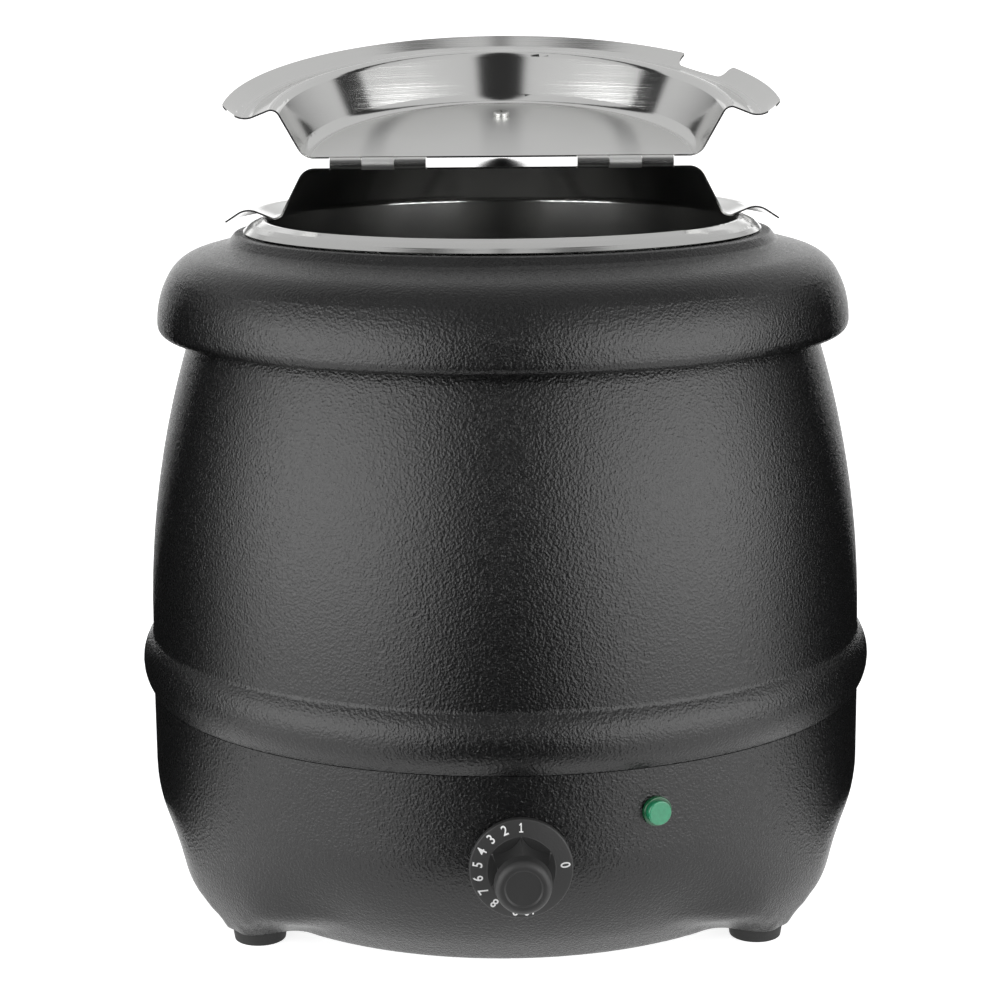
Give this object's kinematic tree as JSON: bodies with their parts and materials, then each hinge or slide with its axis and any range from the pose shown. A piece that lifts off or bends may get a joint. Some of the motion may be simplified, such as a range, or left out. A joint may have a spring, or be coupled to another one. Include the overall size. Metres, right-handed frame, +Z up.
{
  "type": "soup kettle",
  "caption": "Free-standing electric soup kettle: black textured barrel body, lift-out steel pot, split hinged lid with a ladle notch, front control knob and green lamp.",
  "frame": {"origin": "on the floor, on the kettle's upright axis", "axes": "+Z up along the kettle's axis, -Y out of the front where the knob is, +X to the right as seen from the back, left to right in the picture"},
  "size_m": [0.3464, 0.3931, 0.3993],
  "materials": {
    "black_powder_coat": "black powder coat with an orange-peel texture",
    "satin_steel": "polished stainless steel with a faint satin grain",
    "plated_steel": "zinc-plated steel",
    "galvanised_sheet": "dull galvanised sheet",
    "element_sheath": "dark heat-tinted steel tube",
    "plain_aluminium": "plain aluminium plate",
    "black_phenolic": "moulded black phenolic, white printed figures on the skirt",
    "black_nylon": "moulded black nylon",
    "black_rubber": "black rubber",
    "green_lens": "translucent green plastic",
    "white_nylon": "white nylon",
    "sensor_copper": "drawn copper tube",
    "brown_insulation": "brown wire insulation",
    "blue_insulation": "blue wire insulation",
    "green_insulation": "green and yellow wire insulation"
  },
  "bodies": {
    "kettle_body": {"base_nut": "plated_steel", "base_plate": "galvanised_sheet", "base_plate_screws": "plated_steel", "bulb_clips": "plated_steel", "cable_gland": "black_nylon", "capillary_tube": "sensor_copper", "clamp_nut": "plated_steel", "collar": "black_powder_coat", "earth_lead": "green_insulation", "earth_stud": "plated_steel", "element_lead": "brown_insulation", "foot_front_left": "black_rubber", "foot_front_right": "black_rubber", "foot_nuts": "plated_steel", "foot_rear_left": "black_rubber", "foot_rear_right": "black_rubber", "foot_screws": "plated_steel", "gland_cap": "black_nylon", "gland_locknut": "black_nylon", "gland_seal": "black_rubber", "heater_clamp_plate": "plain_aluminium", "heater_element": "element_sheath", "indicator_body": "white_nylon", "indicator_lens": "green_lens", "indicator_nut": "plated_steel", "lamp_leads": "blue_insulation", "live_lead": "brown_insulation", "lower_base": "black_powder_coat", "neutral_lead": "blue_insulation", "sensor_bulb": "sensor_copper", "switched_lead": "brown_insulation", "terminal_block": "white_nylon", "terminal_screws": "plated_steel", "thermal_cutout": "black_nylon", "thermostat_body": "black_nylon", "thermostat_screws": "plated_steel", "tie_stud": "plated_steel", "upper_barrel": "black_powder_coat", "water_bath": "satin_steel"},
    "pot": {"soup_pot": "satin_steel"},
    "lid_rear": {"lid_rear_half": "satin_steel", "hinge_leaf_rear_left": "satin_steel", "hinge_leaf_rear_right": "satin_steel", "hinge_pin_left": "satin_steel", "hinge_pin_right": "satin_steel"},
    "lid_flap": {"lid_flap": "satin_steel", "hinge_leaf_flap_left": "satin_steel", "hinge_leaf_flap_right": "satin_steel", "lid_handle": "black_phenolic", "handle_screw": "plated_steel"},
    "knob": {"control_knob": "black_phenolic", "thermostat_spindle": "plated_steel"}
  },
  "joints": [
    {"name": "pot_lift", "type": "slide", "parent": "kettle_body", "child": "pot", "axis": [0, 0, 1], "range_m": [0, 0.28]},
    {"name": "lid_lift", "type": "slide", "parent": "pot", "child": "lid_rear", "axis": [0, 0, 1], "range_m": [0, 0.12]},
    {"name": "flap_hinge", "type": "hinge", "parent": "lid_rear", "child": "lid_flap", "pos_m": [0, 0, 0.34359], "axis": [1, 0, 0], "range_deg": [0, 167]},
    {"name": "knob_turn", "type": "hinge", "parent": "kettle_body", "child": "knob", "pos_m": [0.00588, -0.1685, 0.0599], "axis": [0.0349, -0.9994, 0], "range_deg": [-172, 93]}
  ]
}
